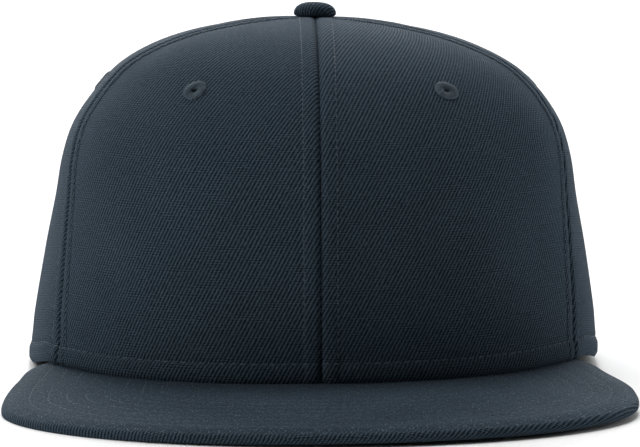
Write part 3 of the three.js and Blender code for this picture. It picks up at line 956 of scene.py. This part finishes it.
def rolled_edge(distance):
    """How the cloth bends down over the worn edge of the board, by the distance from the peak's outline."""
    return -0.9 * (1 - smooth_step(distance, 0.0, 8.0)) ** 2


def quilted(plan):
    """The relief of the stitched channels on the peak, with the slow swells of its cloth."""
    distance = distance_to_edge(plan)
    channels = sum(
        np.exp(-(((distance - peak_stitch_first - peak_stitch_step * row) / 0.75) ** 2))
        for row in range(peak_stitch_rows)
    )
    x, y = plan[..., 0], plan[..., 1]
    swell = 0.10 * np.sin(x / 13.0 + 0.7) * np.sin(y / 11.0 + x / 29.0) + 0.05 * np.sin(x / 4.7 + y / 6.1)
    return rolled_edge(distance) - 0.08 * channels + swell * smooth_step(distance, 4.0, 14.0)


spoke_shares = np.sin(np.linspace(-1, 1, peak_spokes + 1) * math.pi / 2 * 0.8) / math.sin(math.pi / 2 * 0.8)
spoke_inner = hem_inside(spoke_shares * peak_wrap_turn, peak_crown_depth)
spoke_outer = peak_outline(spoke_shares)
spoke_length = np.linalg.norm(spoke_outer - spoke_inner, axis=-1)
spoke_way = (spoke_outer - spoke_inner) / spoke_length[:, None]


def with_ends(values):
    """Rows with the first and the last of them repeated, for a skin that is drawn shut at both ends."""
    return np.concatenate([values[:1], values, values[-1:]])


def peak_face(out, down, relief=0.0):
    """One line of points round the peak: out along each spoke from the hem, and down from its upper face."""
    plan = spoke_inner + spoke_way * out[:, None]
    return np.concatenate([plan, (peak_top(plan[:, 0], plan[:, 1]) - down + relief)[:, None]], axis=-1)


# How the cloth turns under the board, in millimetres in from the outline and down from the top, and then its
# inner face, as shares of the way out and millimetres down.
turned_under = [(0.0, 2.6), (0.02, 2.9), (0.06, 3.15), (0.25, 3.45), (0.6, 3.65), (1.1, 3.78), (1.8, 3.8)]
inner_face = [(1.0, 2.6), (1.0, 2.0), (0.6, 2.0), (0.3, 2.0), (0.0, 2.0)]
bend_start = spoke_length - peak_edge_radius
loops, cloth_places = [], []
for way in np.concatenate([np.linspace(0, 0.9, 84), np.linspace(0.9, 1, 16)[1:]]):
    out = bend_start * way
    plan = spoke_inner + spoke_way * out[:, None]
    loops.append(peak_face(out, 0.0, quilted(plan)))
    cloth_places.append(plan)
for step in range(1, 8):
    angle = step / 7 * math.pi / 2
    short = peak_edge_radius * (1 - math.sin(angle))
    down = peak_edge_radius * (1 - math.cos(angle))
    loops.append(peak_face(spoke_length - short, down, rolled_edge(short)))
    cloth_places.append(spoke_inner + spoke_way * (bend_start + peak_edge_radius * angle)[:, None])
travel = peak_edge_radius * math.pi / 2
for back, down in turned_under:
    loops.append(peak_face(spoke_length - back, down))
    travel += 0.5
    cloth_places.append(spoke_inner + spoke_way * (bend_start + travel)[:, None])
for way, down in inner_face:
    loops.append(peak_face((spoke_length - peak_rim) * way, down))
    travel += 2.0
    cloth_places.append(spoke_inner + spoke_way * (bend_start + travel)[:, None])
loops = np.stack(loops, axis=1)
cloth_places = np.stack(cloth_places, axis=1)
closed_cloth = with_ends(cloth_places)
closed_cloth = np.concatenate([closed_cloth, closed_cloth[:, -1:] + 2.0], axis=1)
peak_cover = wrapped_piece("peak_cover_cloth", loops, closed_cloth)
# The peak's twill is the crown's cloth painted lighter in its valleys, ridges and fuzz: painted light for the
# light on the peak's upper face. As it is stretched, its ribs show faintly and its nap lies longer.
peak_twill_painted_lit = twill_material(
    "wool_blend_twill_stretched_painted_lit", rib_show=0.3, nap=4.5, valley="#1e2931", ridge="#4f5d69", fuzz="#84949f",
    sheen=0.078,
)
peak_cover.data.materials.append(peak_twill_painted_lit)
peak_cover.data.materials.append(crown_twill)
# The cloth at the edge isn't stretched, so its ribs show as they do on the crown; it has no painted light.
edge_reach = 1.5
cover_faces = peak_cover.data.polygons
from_edge = distance_to_edge(np.array([face.center[:2] for face in cover_faces]))
for face, distance in zip(cover_faces, from_edge):
    if face.normal.z < 0.9 and distance < edge_reach:
        face.material_index = 1
settle(peak_cover)
smooth(peak_cover)
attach(peak_cover, "root")
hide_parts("peak_cover")


def clear_of_crown(plan, margin):
    """Whether points in plan lie in front of the crown's hem, with a margin."""
    x = np.abs(plan[..., 0]) / (crown_half_width + margin)
    y = np.abs(plan[..., 1]) / (crown_front + margin)
    return (plan[..., 1] > 0) | (x**front_squareness + y**front_squareness > 1)


def peak_rows(down, facing, margin):
    """The rows of stitches that follow the peak's outline, on its upper face or under it."""
    rows = []
    for row in range(peak_stitch_rows):
        inset = peak_stitch_first + peak_stitch_step * row
        plan = edge_line + edge_inward * inset
        keep = clear_of_crown(plan, margin) & (distance_to_edge(plan) > inset - 0.1)
        keep &= plan[:, 1] < corner[1] - 2.0
        breaks = np.flatnonzero(np.diff(keep.astype(int)))
        for start, stop in zip(np.r_[0, breaks + 1], np.r_[breaks + 1, len(keep)]):
            if keep[start] and stop - start > 30:
                part = plan[start:stop]
                z = peak_top(part[:, 0], part[:, 1]) - down
                points = np.concatenate([part, z[:, None]], axis=-1)
                rows.append((points, np.repeat([[0.0, 0.0, facing]], len(part), axis=0)))
    return rows


# The peak's thread is the seam thread painted a little lighter, as painted light on the peak's upper face.
peak_thread = thread_material("spun_polyester_thread_painted_lighter", "#3c4751", "#5f6c77")
upper_rows = peak_rows(down=0.19, facing=1.0, margin=1.5)
stitch_rows("peak_stitches_upper", upper_rows, hem_pitch, gauge=0.40, thread=peak_thread)


# Peak underside: plain twill glued and stitched under the board, inside the rolled edge of the cover, with
# the same eight rows of stitches.
underside_edge = spoke_length - peak_rim - seam_gap
loops, cloth_places = [], []
for way, down in ((0.0, 2.3), (0.5, 2.3), (1.0, 2.3)):
    loops.append(peak_face(underside_edge * way, down))
    cloth_places.append(spoke_inner + spoke_way * (underside_edge * (2 - way))[:, None])
loops.append(peak_face(underside_edge + 0.1, 3.0))
cloth_places.append(spoke_inner + spoke_way * (underside_edge + 0.8)[:, None])
for way in np.concatenate([np.linspace(1, 0.97, 5), np.linspace(0.97, 0, 70)[1:]]):
    out = underside_edge * way
    plan = spoke_inner + spoke_way * out[:, None]
    rounded = 0.25 * smooth_step(way, 0.97, 1.0)
    relief = -0.8 * (quilted(plan) - rolled_edge(distance_to_edge(plan)))
    loops.append(peak_face(out, peak_thickness - rounded, relief))
    cloth_places.append(plan)
loops = np.stack(loops, axis=1)
closed_cloth = with_ends(np.stack(cloth_places, axis=1))
closed_cloth = np.concatenate([closed_cloth, closed_cloth[:, -1:] + 1.0], axis=1)
underside = wrapped_piece("peak_underside_cloth", loops, closed_cloth)
underside.data.materials.append(crown_twill)
settle(underside)
smooth(underside)
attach(underside, "root")
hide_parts("peak_underside")
lower_rows = peak_rows(down=peak_thickness - 0.08, facing=-1.0, margin=0.0)
stitch_rows("peak_stitches_lower", lower_rows, hem_pitch, gauge=0.42, thread=stitch_thread)


# Snap strap: two overlapping strips of moulded plastic across the opening, one with a row of studs and one
# with holes that snap over them; here the studs stand on the strips' outer faces, and no holes are cut. Their
# ends go in behind the back panels.
strap_height = 19.0
strap_lift = 1.2
lap_end = 14.0
stud_pitch = 9.5
stud_count = 7


def moulded_plastic(name, base, worn):
    """Moulded polyethylene: a soft satin skin, whose faint grain from the mould scatters highlights widely."""
    material = new_material(name)
    place = add_node(material, "ShaderNodeTexCoord").outputs["Object"]
    grain = noise(material, place, scale=2200.0, detail=2.0, roughness=0.5)
    cloudy = noise(material, place, scale=60.0, detail=3.0, roughness=0.6)
    return finish_material(
        material, {"IOR": 1.5},
        Base_Color=blend_of(material, cloudy, base, worn),
        Roughness=mapped(material, cloudy, start=0.3, stop=0.7, low=0.38, high=0.52),
        Normal=bumps(material, grain, strength=0.25, depth=0.03),
    )


snap_plastic = moulded_plastic("moulded_polyethylene", "#161b21", "#222931")


def strip_loops(start_x, stop_x, low, high, outer, wall, round_end):
    """A strip across the opening, in sections from side to side, with eased edges and maybe a round end."""
    reach = (high - low) / 2
    middle = (high + low) / 2
    sides = np.linspace(start_x, stop_x, 140)
    turns, _ = back_place(np.abs(sides), 0.05)
    turns = np.where(sides < 0, 360 - turns, turns)
    from_end = np.abs(sides - stop_x)
    blunt = 6.0
    narrowing = np.where(from_end < blunt, np.sqrt(np.maximum(1 - (1 - from_end / blunt) ** 2, 0.02)), 1.0)
    narrowing = narrowing if round_end else np.ones_like(sides)
    half = reach * (0.45 + 0.55 * narrowing)
    eased = 0.35
    profile = [
        (-1, eased), (-1, wall - eased), (-0.97, wall), (-0.5, wall), (0.0, wall), (0.5, wall), (0.97, wall),
        (1, wall - eased), (1, eased), (0.97, 0.0), (0.5, 0.0), (0.0, 0.0), (-0.5, 0.0), (-0.97, 0.0),
    ]
    loops = []
    for across, deep in profile:
        heights = middle + half * across
        places = [inside_place(turn, height, np.asarray(outer + deep)) for turn, height in zip(turns, heights)]
        loops.append(places)
    return np.stack([np.array(column) for column in loops], axis=1)


end_x = opening_half_width + strap_tuck
top = strap_lift + strap_height
strap_loops = strip_loops(-end_x, end_x, strap_lift, top, band_depth, strap_wall, False)
strap = wrapped_piece("strap_with_studs", strap_loops)
lap_depth = band_depth - strap_wall
lap_loops = strip_loops(
    opening_half_width - 1.0, -lap_end, strap_lift + 1, top - 1, lap_depth, strap_wall - 0.05, True,
)
lap = wrapped_piece("strap_with_holes", lap_loops)
stud_profile = [
    (0.0, 1.05), (0.8, 1.02), (1.5, 0.92), (1.95, 0.7), (2.15, 0.4), (2.2, 0.1), (2.2, -0.5), (0.0, -0.5),
]
studs = []
for stud in range(stud_count):
    side = (stud - (stud_count - 1) / 2) * stud_pitch
    turn = float(back_place(abs(side), 0.05)[0])
    turn = 360 - turn if side < 0 else turn
    on_lap = side > -lap_end
    middle = strap_lift + strap_height / 2
    seat = Vector(inside_place(turn, middle, np.asarray(lap_depth if on_lap else band_depth)))
    turned = Vector(crown_out(turn, up_at_height(middle))).to_track_quat("Z", "Y").to_matrix()
    skin = np.array([[
        seat + turned @ Vector((radius * math.cos(angle), radius * math.sin(angle), height))
        for radius, height in stud_profile
    ] for angle in np.radians(np.linspace(0, 360, 33))])
    flat = np.zeros(skin.shape[:2] + (2,))
    piece = shaped_grid(f"stud_{stud}", skin, flat)
    close_skin(piece)
    studs.append(piece)
bpy.ops.object.select_all(action="DESELECT")
for piece in studs:
    piece.select_set(True)
strap.select_set(True)
bpy.context.view_layer.objects.active = strap
bpy.ops.object.join()
for piece in (strap, lap):
    piece.data.materials.append(snap_plastic)
    settle(piece)
    smooth(piece, 40)
    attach(piece, "root")
    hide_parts("snap_strap")


# Floor, light and camera: a plain white floor, soft light that comes mostly from behind and rolls over the
# top, with weaker ones from both sides and above, so the front darkens downwards. The camera is low in front,
# a long way off.
bpy.ops.object.select_all(action="DESELECT")
bpy.ops.mesh.primitive_plane_add(size=60, location=(0, 0, 0))
floor = bpy.context.object
floor.name = "studio_floor"
paper = new_material("white_paper")
finish_material(paper, {"Base Color": linear_colour("#fafafa"), "Roughness": 0.9})
floor.data.materials.append(paper)

world = bpy.data.worlds.new("studio_air")
world.use_nodes = True
world.node_tree.nodes["Background"].inputs["Color"].default_value = (1, 1, 1, 1)
world.node_tree.nodes["Background"].inputs["Strength"].default_value = 0.02
bpy.context.scene.world = world

studio_lights = {
    "back": {"azimuth": 180, "elevation": 20, "spread": 50, "strength": 4.1},
    "back_left": {"azimuth": -150, "elevation": 20, "spread": 40, "strength": 0.5},
    "back_right": {"azimuth": 115, "elevation": 12, "spread": 50, "strength": 1.0},
    "overhead": {"azimuth": 180, "elevation": 65, "spread": 20, "strength": 1.4},
    "high_left": {"azimuth": -90, "elevation": 50, "spread": 50, "strength": 0.9},
    "low_left": {"azimuth": -70, "elevation": 15, "spread": 50, "strength": 0.55},
}
for name, row in studio_lights.items():
    turn, climb = math.radians(row["azimuth"]), math.radians(row["elevation"])
    towards = Vector((math.sin(turn) * math.cos(climb), -math.cos(turn) * math.cos(climb), math.sin(climb)))
    bpy.ops.object.light_add(type="SUN", location=towards * 3)
    lamp = bpy.context.object
    lamp.name = f"studio_{name}"
    lamp.rotation_euler = towards.to_track_quat("Z", "Y").to_euler()
    lamp.data.angle = math.radians(row["spread"])
    lamp.data.energy = row["strength"]

camera_distance = 1400.0
camera_yaw = math.radians(1.0)
camera_height = 140.9
aim = (1.55, 38.6)
image_width = 640
focal_pixels = 4520
sine, cosine = math.sin(camera_yaw), math.cos(camera_yaw)
eye = rest @ Vector((-camera_distance * sine, -camera_distance * cosine, camera_height))
target = rest @ Vector((aim[0] * cosine, -aim[0] * sine, aim[1]))
bpy.ops.object.camera_add(location=eye)
camera = bpy.context.object
camera.name = "photo_camera"
camera.rotation_euler = (target - eye).to_track_quat("-Z", "Y").to_euler()
camera.data.sensor_width = 36
camera.data.lens = 36 * focal_pixels / image_width
camera.data.clip_end = 100
bpy.context.scene.camera = camera
bpy.context.scene.view_settings.view_transform = "Standard"
